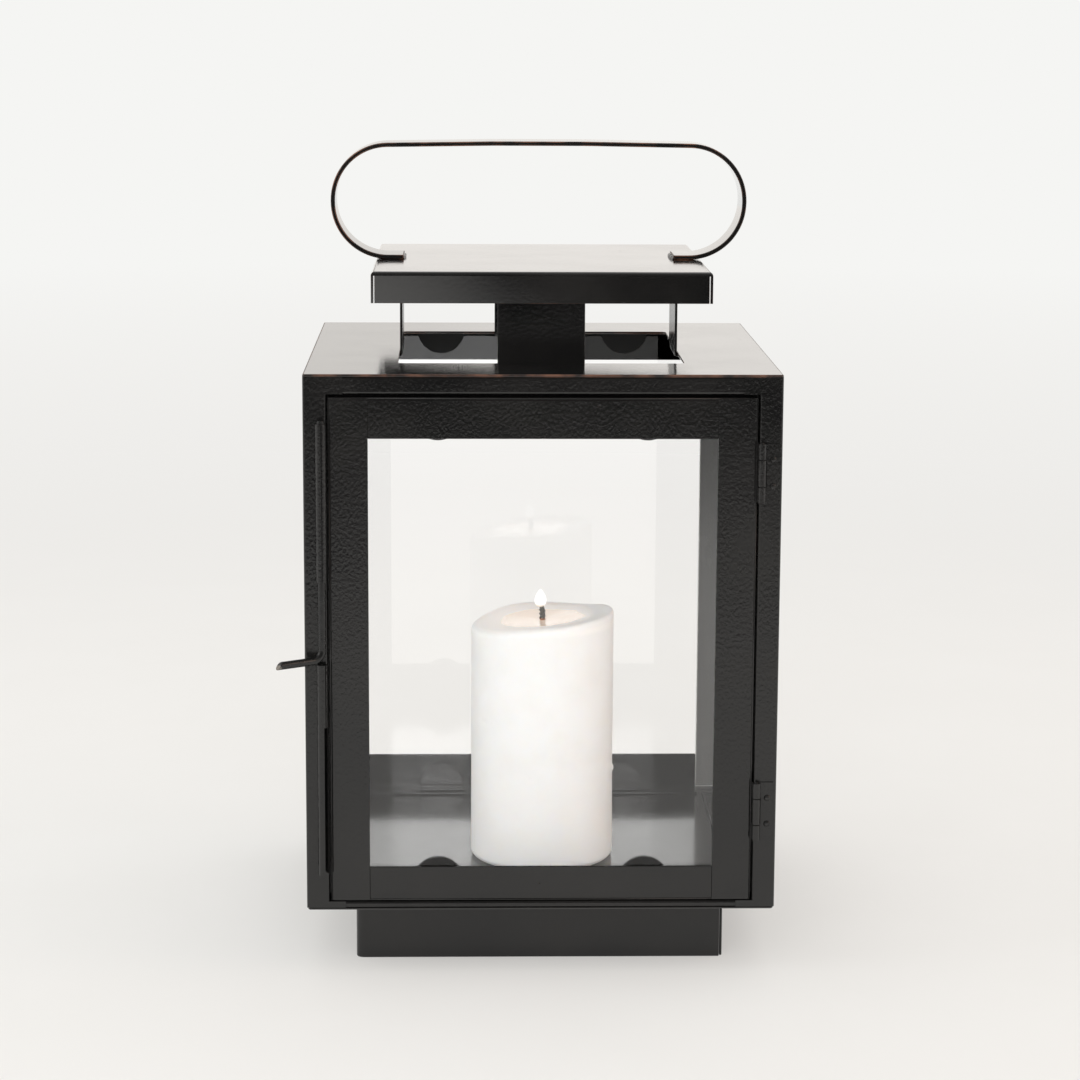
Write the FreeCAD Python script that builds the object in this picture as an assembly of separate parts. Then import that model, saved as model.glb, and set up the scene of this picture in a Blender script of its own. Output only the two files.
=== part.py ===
import FreeCAD, Part
import math
import os

# Candle lantern of folded black sheet steel: a square glazed body on a plinth, an inset door on
# two butt hinges with a turning wire latch, a raised chimney cap and a strip handle.
# Millimetres, +Z up, door towards -Y, origin on the ground under the middle of the plinth.

V = FreeCAD.Vector
ORIGIN = V(0, 0, 0)
RIGHT = V(1, 0, 0)
BACK = V(0, 1, 0)
UP = V(0, 0, 1)

# Body frame
SHEET = 1.0               # thickness of all folded sheet
HALF = 90.0               # half of the square body's outside width
FLANGE = 15.0             # leg of the corner posts and rails
INNER = HALF - FLANGE     # inner edge of the frame's legs
BACK_LEG = 17.0           # wider rear leg of the back posts
PLINTH_HALF = 71.75
PLINTH_H = 25.0
PLINTH_BEND = 2.0         # inside radius of the plinth's folded corners
PLINTH_SEAM = 1.2         # opening of the unwelded front right corner
BODY_TOP = 232.5          # upper face of the roof
FRAME_BOTTOM = PLINTH_H + SHEET
FRAME_TOP = BODY_TOP - SHEET
FLOOR_INSET = 0.4         # floor plate edge behind the body's faces
PLATE_CORNER = 1.2        # corner radius of the roof and floor plates
EDGE_EASE = 0.35          # eased upper edges of the roof

# Door opening, a rebate pressed into the front posts and rails
OPENING_HALF = 81.2
OPENING_BOTTOM = 28.5
OPENING_TOP = 225.0
REBATE = 6.5              # depth of the door stop behind the front
STOP_LIP = 6.5            # width of the stop behind the door's edge

# Door
DOOR_HALF = 80.6
DOOR_BOTTOM = 28.9
DOOR_TOP = 223.8
DOOR_DEPTH = 6.0
DOOR_BEND = 0.3
STILE = 14.9
DOOR_RAIL_TOP = 15.6
DOOR_RAIL_BOTTOM = 13.5
DOOR_PANE_GAP = 1.7       # from the door's outside to the edge of its pane

# Glazing
PANE = 2.0                # glass thickness
PANE_HALF = 86.0          # half width of the fixed panes
PANE_HEADROOM = 3.5       # space above a fixed pane, to lift it in
CLIP_W = 20.0             # half-round spring clips that hold the glass
CLIP_REACH = 11.0
CLIP_FOOT = 9.0
CLIP_X = 39.5
DOOR_CLIP_TOP_REACH = 15.5
DOOR_CLIP_BOTTOM_REACH = 15.9
DOOR_CLIP_FOOT = 2.8

# Chimney and handle
HOLE_HALF = 55.0
HOLE_CORNER = 2.0
STRUT_W = 33.6
STRUT_FOOT = 8.0
CAP_HALF = 65.0
CAP_TOP = 268.5
CAP_SKIRT = 12.0
CAP_BEND = 0.6
CAP_SLIT = 0.35           # open corners of the folded skirt
HANDLE_T = 1.7
HANDLE_W = 21.0
HANDLE_HALF = 82.3        # half of the handle's outside length
HANDLE_SHOULDER = 313.8   # upper face at the ends of the grip
HANDLE_PEAK = 315.6       # where the two halves of the grip would meet without their crown
HANDLE_CROWN_R = 2500.0   # slight upward bow of the grip
HANDLE_FOOT = 53.5        # inner ends of the feet, from the middle

# Hinges
HINGE_X = 82.15
HINGE_Y = -91.9
HINGE_L = 22.4
HINGE_MIDS = {"upper": 195.5, "lower": 64.4}
KNUCKLE_R = 1.55
KNUCKLE_MID = 10.0        # length of the door's knuckle, between the post's two
KNUCKLE_GAP = 0.3
LEAF_T = 0.6              # leaf on the post
DOOR_LEAF_T = 0.4         # leaf in the gap beside the door
LEAF_EDGE = 88.7          # outer edge of the leaf on the post
LEAF_CLEAR = 0.35         # room round the other leaf's knuckle
LEAF_BACK = -84.4         # rear edge of the leaf on the door
PIN_R = 0.75
PIN_PLAY = 0.05
PIN_PROUD = 0.45          # ends of the pin beyond the knuckles
RIVET_X = 86.4
RIVET_SPREAD = 5.1        # of the two rivets from the middle of a hinge
RIVET_R = 0.7
RIVET_HEAD_R = 1.35
RIVET_HEAD_H = 0.6
RIVET_TAIL_H = 0.4

# Latch
LATCH_X = -83.2
LATCH_Y = -92.0
WIRE_R = 1.5
WIRE_PLAY = 0.05
WIRE_TOP = 215.4
WIRE_BEND = 4.0
ARM_Z = 124.0
ARM_L = 20.0
ARM_SWING = 33.0          # degrees that the resting arm stands out from the body's front
TIP_SNIP = 35.0           # degrees of the snipped end
SLEEVE_R = 2.1
SLEEVE_UPPER = (154.0, 214.2)
SLEEVE_LOWER = (39.8, 122.2)
SEAM_NARROW = 0.4
SEAM_WIDE = 1.5
SEAM_WIDE_TOP = 98.0      # the lower sleeve's seam gapes below this height
SEAM_UPPER_TURN = 8.0     # degrees of each seam from straight ahead
SEAM_LOWER_TURN = 38.0

# Candle
CANDLE_X = 2.0
CANDLE_Y = -15.0
CANDLE_R = 28.9
CANDLE_H = 99.2           # on the axis, before it burned down
CANDLE_TILT = 5.3         # degrees that the burned top leans to the left
CANDLE_FOOT = 2.5         # worn edge of the foot
POOL_R = 24.5
POOL_FLOOR_R = 17.0
POOL_DEPTH = 1.5
WICK_R = 1.1
WICK_SUNK = 20.0
WICK_STRAIGHT = 3.0       # straight rise above the pool, before the curl
WICK_CURL_R = 6.0
WICK_CURL = 25.0          # degrees

TINY = 1e-6


def block(x0, x1, y0, y1, z0, z1):
    """Box between two corners."""
    return Part.makeBox(x1 - x0, y1 - y0, z1 - z0, V(x0, y0, z0))


def disc(radius, height, base, axis=UP):
    """Round bar standing on its base point."""
    return Part.makeCylinder(radius, height, base, axis)


def joined(first, *others):
    """One solid from pieces that meet."""
    return first.fuse(list(others)).removeSplitter()


def turned(shape, quarters):
    """Copy turned about the lantern's middle, from the back towards the left."""
    copy = shape.copy()
    copy.rotate(ORIGIN, UP, 90 * quarters)
    return copy


def mirrored(shape):
    """Copy on the other side of the lantern."""
    return shape.mirror(ORIGIN, RIGHT)


def elbow(radius, start, heading, centre, axis, degrees):
    """Round bar bent about an axis through a centre, from its start, where it runs along its heading."""
    return Part.Face(Part.Wire(Part.makeCircle(radius, start, heading))).revolve(centre, axis, degrees)


def rounded_face(points, radii):
    """Flat face with the given corners, each rounded by its own radius."""
    count = len(points)
    joins = []
    for i, corner in enumerate(points):
        to_last = (points[i - 1] - corner).normalize()
        to_next = (points[(i + 1) % count] - corner).normalize()
        half = to_last.getAngle(to_next) / 2
        reach = radii[i] / math.tan(half)
        inset = radii[i] / math.sin(half) - radii[i]
        middle = corner + (to_last + to_next).normalize() * inset
        joins.append((corner + to_last * reach, middle, corner + to_next * reach))
    edges = []
    for i, (start, middle, end) in enumerate(joins):
        following = joins[(i + 1) % count][0]
        if radii[i] > 0:
            edges.append(Part.Arc(start, middle, end).toShape())
        if end.distanceToPoint(following) > TINY:
            edges.append(Part.LineSegment(end, following).toShape())
    return Part.Face(Part.Wire(edges))


def rounded_square(half, radius, z):
    """Square face round the lantern's axis, with rounded corners."""
    corners = [V(-half, -half, z), V(half, -half, z), V(half, half, z), V(-half, half, z)]
    return rounded_face(corners, [radius] * 4)


def folded(path, run, thickness=SHEET, bends=0.0):
    """Folded sheet along a run. The path is one face of its section, with the metal to its left.

    Bends is the inside radius of every fold, or a list with one radius for each.
    """
    if isinstance(bends, float):
        bends = [bends] * (len(path) - 2)
    normal = V(run).normalize()
    steps = [(b - a).normalize() for a, b in zip(path, path[1:])]
    lefts = [normal.cross(step) for step in steps]
    backs = [path[0] + lefts[0] * thickness]
    face_radii = [0.0]
    back_radii = [0.0]
    for i, bend in enumerate(bends, start=1):
        mitre = (lefts[i - 1] + lefts[i]) * (1 / (1 + lefts[i - 1].dot(lefts[i])))
        backs.append(path[i] + mitre * thickness)
        folds_left = steps[i].dot(lefts[i - 1]) > 0
        face_radii.append(bend + thickness if folds_left else bend)
        back_radii.append(bend if folds_left else bend + thickness)
    backs.append(path[-1] + lefts[-1] * thickness)
    outline = path + backs[::-1]
    radii = face_radii + [0.0, 0.0] + back_radii[:0:-1] + [0.0]
    return rounded_face(outline, radii).extrude(run)


def yz(pairs, x):
    """Points of a section across X, from their Y and Z."""
    return [V(x, y, z) for y, z in pairs]


def xy(pairs, z):
    """Points of a section across Z, from their X and Y."""
    return [V(x, y, z) for x, y in pairs]


def xz(pairs):
    """Points of a section through the axis, from their X and Z."""
    return [V(x, 0, z) for x, z in pairs]


def roof_plate():
    """Flat roof with the square chimney hole, its upper edges eased."""
    plate = rounded_square(HALF, PLATE_CORNER, FRAME_TOP).extrude(UP * SHEET)
    rim = [edge for edge in plate.Edges if edge.BoundBox.ZMin > BODY_TOP - TINY]
    plate = plate.makeChamfer(EDGE_EASE, rim)
    return plate.cut(rounded_square(HOLE_HALF, HOLE_CORNER, FRAME_TOP).extrude(UP * SHEET))


def floor_plate():
    """Flat floor between the plinth and the frame."""
    return rounded_square(HALF - FLOOR_INSET, PLATE_CORNER, PLINTH_H).extrude(UP * SHEET)


def plinth():
    """Strip folded round three corners into a ring, its seam left open at the front right one."""
    half = PLINTH_HALF
    ring = [
        (half, PLINTH_SEAM - half),
        (half, half),
        (-half, half),
        (-half, -half),
        (half - PLINTH_SEAM, -half),
    ]
    return folded(xy(ring, 0), UP * PLINTH_H, bends=PLINTH_BEND)


def post_front_right():
    """Corner post whose front leg is stepped back behind the door, and flat above and below it."""
    stop = REBATE - HALF
    plain = [(INNER, -HALF), (HALF, -HALF), (HALF, -INNER)]
    stepped = [(INNER, stop), (OPENING_HALF, stop), (OPENING_HALF, -HALF)] + plain[1:]
    middle = folded(xy(stepped, OPENING_BOTTOM), UP * (OPENING_TOP - OPENING_BOTTOM))
    foot = folded(xy(plain, FRAME_BOTTOM), UP * (OPENING_BOTTOM - FRAME_BOTTOM))
    crown = folded(xy(plain, OPENING_TOP), UP * (FRAME_TOP - OPENING_TOP))
    walls = [
        block(INNER, OPENING_HALF + SHEET, -HALF, stop + SHEET, z, z + SHEET)
        for z in (OPENING_BOTTOM - SHEET, OPENING_TOP)
    ]
    return joined(middle, foot, crown, *walls)


def post_back_right():
    """Plain angle post."""
    legs = [(HALF, INNER), (HALF, HALF), (HALF - BACK_LEG, HALF)]
    return folded(xy(legs, FRAME_BOTTOM), UP * (FRAME_TOP - FRAME_BOTTOM))


def top_rail_front():
    """Fascia over the door, folded back to the door stop."""
    stop = REBATE - HALF
    legs = [
        (-INNER, FRAME_TOP),
        (-HALF, FRAME_TOP),
        (-HALF, OPENING_TOP),
        (stop, OPENING_TOP),
        (stop, OPENING_TOP - STOP_LIP),
    ]
    return folded(yz(legs, -INNER), RIGHT * (2 * INNER))


def bottom_rail_front():
    """Sill under the door, folded back to the door stop."""
    stop = REBATE - HALF
    legs = [
        (stop, OPENING_BOTTOM + STOP_LIP),
        (stop, OPENING_BOTTOM),
        (-HALF, OPENING_BOTTOM),
        (-HALF, FRAME_BOTTOM),
        (-INNER, FRAME_BOTTOM),
    ]
    return folded(yz(legs, -INNER), RIGHT * (2 * INNER))


def top_rail(reach):
    """Angle rail under the roof at the back, between two posts at that distance from the middle."""
    legs = [(HALF, FRAME_TOP - FLANGE), (HALF, FRAME_TOP), (INNER, FRAME_TOP)]
    return folded(yz(legs, -reach), RIGHT * (2 * reach))


def bottom_rail(reach):
    """Angle rail on the floor at the back, between two posts at that distance from the middle."""
    legs = [(INNER, FRAME_BOTTOM), (HALF, FRAME_BOTTOM), (HALF, FRAME_BOTTOM + FLANGE)]
    return folded(yz(legs, -reach), RIGHT * (2 * reach))


def glass_back():
    """Fixed pane that stands on the bottom rail, against the posts and rails."""
    front = HALF - SHEET - PANE
    top = FRAME_TOP - SHEET - PANE_HEADROOM
    return block(-PANE_HALF, PANE_HALF, front, front + PANE, FRAME_BOTTOM + SHEET, top)


def clip(x, glass_y, root_z, reach, foot):
    """Half-round tongue against a pane, with a foot on its rail.

    Reach is positive upwards, and foot is positive towards the back.
    """
    half = CLIP_W / 2
    rise = math.copysign(1, reach)
    tip = root_z + reach
    corners = [
        V(x - half, glass_y, root_z),
        V(x + half, glass_y, root_z),
        V(x + half, glass_y, tip),
        V(x - half, glass_y, tip),
    ]
    inward = math.copysign(SHEET, -foot)
    tongue = rounded_face(corners, [0, 0, half, half]).extrude(BACK * -inward)
    ends = sorted((glass_y, glass_y + foot))
    levels = sorted((root_z, root_z + rise * SHEET))
    return joined(tongue, block(x - half, x + half, *ends, *levels))


def back_glass_clips():
    """Two clips over the back pane's foot and two over its head."""
    glass_y = HALF - SHEET - PANE
    bottom = FRAME_BOTTOM + SHEET
    top = FRAME_TOP - SHEET
    clips = []
    for x in (-CLIP_X, CLIP_X):
        clips.append(clip(x, glass_y, bottom, CLIP_REACH, -CLIP_FOOT))
        clips.append(clip(x, glass_y, top, -CLIP_REACH, -CLIP_FOOT))
    return Part.makeCompound(clips)


def door_stile_left():
    """Full-height side of the door, with a folded edge and closed ends."""
    front = -HALF
    rear = front + DOOR_DEPTH
    inner = STILE - DOOR_HALF
    legs = [(-DOOR_HALF, rear), (-DOOR_HALF, front), (inner, front)]
    channel = folded(xy(legs, DOOR_BOTTOM), UP * (DOOR_TOP - DOOR_BOTTOM), bends=DOOR_BEND)
    plan = xy([(-DOOR_HALF, front), (inner, front), (inner, rear), (-DOOR_HALF, rear)], DOOR_BOTTOM)
    bottom_end = rounded_face(plan, [SHEET + DOOR_BEND, 0, 0, 0]).extrude(UP * SHEET)
    top_end = bottom_end.translated(UP * (DOOR_TOP - DOOR_BOTTOM - SHEET))
    return joined(channel, bottom_end, top_end)


def door_rail_top():
    """Head of the door between the stiles."""
    front = -HALF
    legs = [(front + DOOR_DEPTH, DOOR_TOP), (front, DOOR_TOP), (front, DOOR_TOP - DOOR_RAIL_TOP)]
    span = DOOR_HALF - STILE
    return folded(yz(legs, -span), RIGHT * (2 * span), bends=DOOR_BEND)


def door_rail_bottom():
    """Foot of the door between the stiles."""
    front = -HALF
    rear = front + DOOR_DEPTH
    legs = [(front, DOOR_BOTTOM + DOOR_RAIL_BOTTOM), (front, DOOR_BOTTOM), (rear, DOOR_BOTTOM)]
    span = DOOR_HALF - STILE
    return folded(yz(legs, -span), RIGHT * (2 * span), bends=DOOR_BEND)


def door_glass():
    """Pane behind the door's stiles and rails."""
    half = DOOR_HALF - DOOR_PANE_GAP
    front = SHEET - HALF
    bottom = DOOR_BOTTOM + DOOR_PANE_GAP
    return block(-half, half, front, front + PANE, bottom, DOOR_TOP - DOOR_PANE_GAP)


def door_glass_clips():
    """Two clips behind the door pane's foot and two behind its head."""
    glass_y = SHEET + PANE - HALF
    clips = []
    for x in (-CLIP_X, CLIP_X):
        clips.append(clip(x, glass_y, DOOR_BOTTOM + SHEET, DOOR_CLIP_BOTTOM_REACH, DOOR_CLIP_FOOT))
        clips.append(clip(x, glass_y, DOOR_TOP - SHEET, -DOOR_CLIP_TOP_REACH, DOOR_CLIP_FOOT))
    return Part.makeCompound(clips)


def chimney_strut_front():
    """Strip from under the roof, up the edge of the hole, to under the cap."""
    web = SHEET - HOLE_HALF
    foot = -HOLE_HALF - STRUT_FOOT
    lower = FRAME_TOP - SHEET
    upper = CAP_TOP - SHEET
    legs = [(foot, lower), (web, lower), (web, upper), (foot, upper)]
    return folded(yz(legs, -STRUT_W / 2), RIGHT * STRUT_W)


def chimney_cap():
    """Shallow tray turned upside down, its skirt slit at the four corners."""
    bottom = CAP_TOP - CAP_SKIRT
    outside = block(-CAP_HALF, CAP_HALF, -CAP_HALF, CAP_HALF, bottom, CAP_TOP)
    rim = [edge for edge in outside.Edges if edge.BoundBox.ZMin > CAP_TOP - TINY]
    outside = outside.makeFillet(CAP_BEND + SHEET, rim)
    inner = CAP_HALF - SHEET
    inside = block(-inner, inner, -inner, inner, bottom, CAP_TOP - SHEET)
    ceiling = [edge for edge in inside.Edges if edge.BoundBox.ZMin > CAP_TOP - SHEET - TINY]
    cap = outside.cut(inside.makeFillet(CAP_BEND, ceiling))
    near = inner - CAP_SLIT
    fold = CAP_TOP - SHEET - CAP_BEND
    for x0, x1 in ((near, inner), (-inner, -near)):
        for y0, y1 in ((inner, CAP_HALF), (-CAP_HALF, -inner)):
            cap = cap.cut(block(x0, x1, y0, y1, bottom, fold))
    return cap


def carry_handle():
    """Strip bent into a flat loop with a slightly bowed grip, its two feet on the cap."""
    side = [
        V(-HANDLE_FOOT, -HANDLE_W / 2, CAP_TOP),
        V(-HANDLE_HALF, -HANDLE_W / 2, CAP_TOP),
        V(-HANDLE_HALF, -HANDLE_W / 2, HANDLE_SHOULDER),
    ]
    peak = V(0, -HANDLE_W / 2, HANDLE_PEAK)
    other_side = [V(-point.x, point.y, point.z) for point in reversed(side)]
    end = (HANDLE_SHOULDER - CAP_TOP) / 2 - HANDLE_T
    bends = [end, end, HANDLE_CROWN_R, end, end]
    return folded(side + [peak] + other_side, BACK * HANDLE_W, thickness=HANDLE_T, bends=bends)


def knuckles(mid, spans):
    """Barrel lengths of one leaf, bored for the pin by its caller."""
    return [disc(KNUCKLE_R, z1 - z0, V(HINGE_X, HINGE_Y, mid + z0)) for z0, z1 in spans]


def bored(leaf, mid, radius):
    """Leaf with the pin's bore through its knuckles."""
    return leaf.cut(disc(radius, HINGE_L, V(HINGE_X, HINGE_Y, mid - HINGE_L / 2)))


def rivet_places(mid):
    """Points on the post's front where a hinge is riveted."""
    return [V(RIVET_X, -HALF, mid + side * RIVET_SPREAD) for side in (-1, 1)]


def rivet_holes(mid):
    """Round cutters through a leaf and the post behind it."""
    return [disc(RIVET_R, LEAF_T + SHEET, at - BACK * LEAF_T, BACK) for at in rivet_places(mid)]


def hinge_post_leaf(mid):
    """Leaf on the post's front, with the two outer knuckles."""
    end = HINGE_L / 2
    near = KNUCKLE_MID / 2 + KNUCKLE_GAP
    barrels = knuckles(mid, [(-end, -near), (near, end)])
    plate = block(HINGE_X, LEAF_EDGE, -HALF - LEAF_T, -HALF, mid - end, mid + end)
    notch_x = HINGE_X + KNUCKLE_R + LEAF_CLEAR
    notch = block(HINGE_X, notch_x, -HALF - LEAF_T, -HALF, mid - near, mid + near)
    leaf = bored(joined(plate.cut(notch), *barrels), mid, PIN_R)
    return leaf.cut(rivet_holes(mid))


def hinge_door_leaf(mid):
    """Leaf along the door's edge, with the middle knuckle."""
    end = HINGE_L / 2
    half = KNUCKLE_MID / 2
    barrel = knuckles(mid, [(-half, half)])
    plate = block(DOOR_HALF, DOOR_HALF + DOOR_LEAF_T, HINGE_Y, LEAF_BACK, mid - end, mid + end)
    notch_y = HINGE_Y + KNUCKLE_R + LEAF_CLEAR
    notches = [
        block(DOOR_HALF, DOOR_HALF + DOOR_LEAF_T, HINGE_Y, notch_y, mid + z0, mid + z1)
        for z0, z1 in ((-end, -half), (half, end))
    ]
    return bored(joined(plate.cut(notches), *barrel), mid, PIN_R + PIN_PLAY)


def hinge_pin(mid):
    """Pin held by the post's knuckles, a little longer than the hinge."""
    foot = mid - HINGE_L / 2 - PIN_PROUD
    return disc(PIN_R, HINGE_L + 2 * PIN_PROUD, V(HINGE_X, HINGE_Y, foot))


def hinge_rivets():
    """Round-headed rivets through the leaves and the post."""
    rivets = []
    for mid in HINGE_MIDS.values():
        for at in rivet_places(mid):
            seat = at - BACK * LEAF_T
            shank = disc(RIVET_R, LEAF_T + SHEET + RIVET_TAIL_H, seat, BACK)
            crown = seat - BACK * RIVET_HEAD_H
            head = Part.makeCone(RIVET_HEAD_R / 2, RIVET_HEAD_R, RIVET_HEAD_H, crown, BACK)
            rivets.append(joined(shank, head))
    return Part.makeCompound(rivets)


def latch_sleeve(bottom, top):
    """Rolled tube with a flat seat on the post's front."""
    foot = V(LATCH_X, LATCH_Y, bottom)
    tube = disc(SLEEVE_R, top - bottom, foot).cut(disc(WIRE_R + WIRE_PLAY, top - bottom, foot))
    behind = block(LATCH_X - SLEEVE_R, LATCH_X + SLEEVE_R, -HALF, -HALF + SLEEVE_R, bottom, top)
    return tube.cut(behind)


def seam(width, turn, bottom, top):
    """Cutter for the open seam of a sleeve, turned to the right from straight ahead."""
    half = width / 2
    cutter = block(LATCH_X - half, LATCH_X + half, LATCH_Y - 2 * SLEEVE_R, LATCH_Y, bottom, top)
    cutter.rotate(V(LATCH_X, LATCH_Y, bottom), UP, turn)
    return cutter


def latch_sleeve_upper():
    """Sleeve that the wire turns in."""
    bottom, top = SLEEVE_UPPER
    return latch_sleeve(bottom, top).cut(seam(SEAM_NARROW, SEAM_UPPER_TURN, bottom, top))


def latch_sleeve_lower():
    """Sleeve whose upper end carries the wire's bend, its seam gaping over most of its length."""
    bottom, top = SLEEVE_LOWER
    closed = seam(SEAM_NARROW, SEAM_LOWER_TURN, SEAM_WIDE_TOP, top)
    gaping = seam(SEAM_WIDE, SEAM_LOWER_TURN, bottom, SEAM_WIDE_TOP)
    return latch_sleeve(bottom, top).cut([closed, gaping])


def latch_wire():
    """Wire bent at a right angle: an upright leg that turns, and an arm with a snipped end."""
    turn = math.radians(ARM_SWING)
    out = V(-math.cos(turn), -math.sin(turn), 0)
    corner = V(LATCH_X, LATCH_Y, ARM_Z)
    upper = corner + UP * WIRE_BEND
    lower = corner + out * WIRE_BEND
    leg = disc(WIRE_R, WIRE_TOP - upper.z, upper)
    bend = elbow(WIRE_R, upper, UP, upper + out * WIRE_BEND, UP.cross(out), -90)
    arm = disc(WIRE_R, ARM_L - WIRE_BEND, lower, out)
    wire = joined(leg, bend, arm)
    tip = corner + out * ARM_L
    slant = out * math.cos(math.radians(TIP_SNIP)) + UP * math.sin(math.radians(TIP_SNIP))
    snip_at = tip - out * (WIRE_R * math.tan(math.radians(TIP_SNIP)))
    return wire.cut(disc(3 * WIRE_R, ARM_L, snip_at, slant))


def candle_top():
    """Middle of the burned top, and the direction it faces."""
    lean = math.radians(CANDLE_TILT)
    return V(CANDLE_X, CANDLE_Y, FRAME_BOTTOM + CANDLE_H), V(-math.sin(lean), 0, math.cos(lean))


def candle_wax():
    """Pillar with a worn foot, a sloping burned top and a shallow pool."""
    tall = CANDLE_H + CANDLE_R
    half = xz([
        (0, 0),
        (CANDLE_R - CANDLE_FOOT, 0),
        (CANDLE_R, CANDLE_FOOT),
        (CANDLE_R, tall),
        (0, tall),
    ])
    pillar = rounded_face(half, [0] * len(half)).revolve(ORIGIN, UP, 360)
    pillar.translate(V(CANDLE_X, CANDLE_Y, FRAME_BOTTOM))
    top, facing = candle_top()
    pillar = pillar.cut(disc(3 * CANDLE_R, 3 * CANDLE_R, top, facing))
    dish = Part.makeCone(POOL_FLOOR_R, POOL_R, POOL_DEPTH, top - facing * POOL_DEPTH, facing)
    return pillar.cut(dish).cut(candle_wick())


def candle_wick():
    """Braided wick from inside the wax, curling over to the left above the pool."""
    pool = FRAME_BOTTOM + CANDLE_H - POOL_DEPTH
    foot = V(CANDLE_X, CANDLE_Y, pool - WICK_SUNK)
    rise = V(CANDLE_X, CANDLE_Y, pool + WICK_STRAIGHT)
    straight = disc(WICK_R, WICK_SUNK + WICK_STRAIGHT, foot)
    return joined(straight, elbow(WICK_R, rise, UP, rise - RIGHT * WICK_CURL_R, BACK, -WICK_CURL))


def lantern():
    """Every piece of the lantern by the name of its node."""
    nodes = {
        "roof_plate": roof_plate(),
        "floor_plate": floor_plate(),
        "plinth": plinth(),
        "chimney_cap": chimney_cap(),
        "carry_handle": carry_handle(),
        "top_rail_front": top_rail_front(),
        "bottom_rail_front": bottom_rail_front(),
        "latch_sleeve_upper": latch_sleeve_upper(),
        "latch_sleeve_lower": latch_sleeve_lower(),
        "latch_wire": latch_wire(),
        "door_rail_top": door_rail_top(),
        "door_rail_bottom": door_rail_bottom(),
        "door_glass": door_glass(),
        "door_glass_clips": door_glass_clips(),
        "hinge_rivets": hinge_rivets(),
        "candle_wax": candle_wax(),
        "candle_wick": candle_wick(),
    }
    front_post = post_front_right()
    nodes["post_front_left"] = mirrored(front_post)
    back_post = post_back_right()
    nodes["post_back_right"] = back_post
    nodes["post_back_left"] = mirrored(back_post)
    stile = door_stile_left()
    nodes["door_stile_left"] = stile
    nodes["door_stile_right"] = mirrored(stile)
    for quarters, side in enumerate(("back", "left", "front", "right")):
        nodes["chimney_strut_" + side] = turned(chimney_strut_front(), quarters + 2)
        if side != "front":
            reach = HALF - BACK_LEG if side == "back" else INNER
            nodes["top_rail_" + side] = turned(top_rail(reach), quarters)
            nodes["bottom_rail_" + side] = turned(bottom_rail(reach), quarters)
            nodes["glass_" + side] = turned(glass_back(), quarters)
            nodes[side + "_glass_clips"] = turned(back_glass_clips(), quarters)
    for place, mid in HINGE_MIDS.items():
        nodes["hinge_" + place + "_post_leaf"] = hinge_post_leaf(mid)
        nodes["hinge_" + place + "_door_leaf"] = hinge_door_leaf(mid)
        nodes["hinge_" + place + "_pin"] = hinge_pin(mid)
        front_post = front_post.cut(rivet_holes(mid))
    nodes["post_front_right"] = front_post
    return nodes


def main():
    """Write one STEP file for each node."""
    os.makedirs("parts", exist_ok=True)
    for name, shape in lantern().items():
        shape.exportStep("parts/" + name + ".step")


main()
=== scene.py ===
"""Looks of a glazed candle lantern: black enamelled sheet steel, clear glass and a lit pillar candle."""

import logging
import math
from dataclasses import dataclass, field
from enum import Enum
from functools import partial
from typing import Any, Callable, Dict, List, Optional, Sequence, Tuple

import bpy
from mathutils import Matrix, Vector, noise


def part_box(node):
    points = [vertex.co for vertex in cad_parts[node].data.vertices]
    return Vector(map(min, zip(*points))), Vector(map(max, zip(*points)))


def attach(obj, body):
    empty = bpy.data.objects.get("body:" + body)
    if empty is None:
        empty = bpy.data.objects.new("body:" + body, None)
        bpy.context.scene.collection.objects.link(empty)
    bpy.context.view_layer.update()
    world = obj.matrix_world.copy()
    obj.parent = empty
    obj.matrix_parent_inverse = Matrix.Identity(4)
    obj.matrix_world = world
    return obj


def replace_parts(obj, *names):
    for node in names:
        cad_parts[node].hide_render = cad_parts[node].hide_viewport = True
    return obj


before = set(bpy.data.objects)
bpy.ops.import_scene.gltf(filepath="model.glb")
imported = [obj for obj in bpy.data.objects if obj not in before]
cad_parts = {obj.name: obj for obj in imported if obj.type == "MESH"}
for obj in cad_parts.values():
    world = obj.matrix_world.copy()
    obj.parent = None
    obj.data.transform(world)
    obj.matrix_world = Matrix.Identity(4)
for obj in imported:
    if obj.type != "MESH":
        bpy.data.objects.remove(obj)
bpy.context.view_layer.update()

LOG = logging.getLogger("lantern")
MM = 0.001
RIGHT, BACK, UP = Vector((1, 0, 0)), Vector((0, 1, 0)), Vector((0, 0, 1))
# Lifts the pale ground where it is seen through panes, which mirror a share of it away.
THROUGH_GLASS = 1.1

Material = bpy.types.Material
Node = bpy.types.Node
Socket = bpy.types.NodeSocket
Tree = bpy.types.NodeTree
Adder = Callable[..., Node]
Colour = Tuple[float, float, float, float]
Ring = List[Vector]
Span = Tuple[float, float]
Triple = Tuple[float, float, float]


class Body(Enum):
    """Rigid bodies that made pieces ride on, by their names in the frame."""

    LANTERN = "lantern_body"
    DOOR = "door"
    CANDLE = "candle"


class Slot(Enum):
    """Material slots of the record, by their names."""

    ENAMEL = "black_enamel"
    WAX = "white_wax"
    WICK = "wick_cotton"


def srgb(code: str) -> Colour:
    """Turns an sRGB hex code into a linear colour.

    Args:
        code: colour such as "#f3f3f1".

    Returns:
        Linear red, green, blue and an alpha of 1.
    """
    parts = [int(code[i:i + 2], 16) / 255 for i in (1, 3, 5)]
    linear = [p / 12.92 if p <= 0.04045 else ((p + 0.055) / 1.055) ** 2.4 for p in parts]
    return (*linear, 1.0)


def per_metre(size_mm: float) -> float:
    """Pattern scale, in repeats per metre, for a feature of that size in millimetres."""
    return 1000.0 / size_mm


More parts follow.
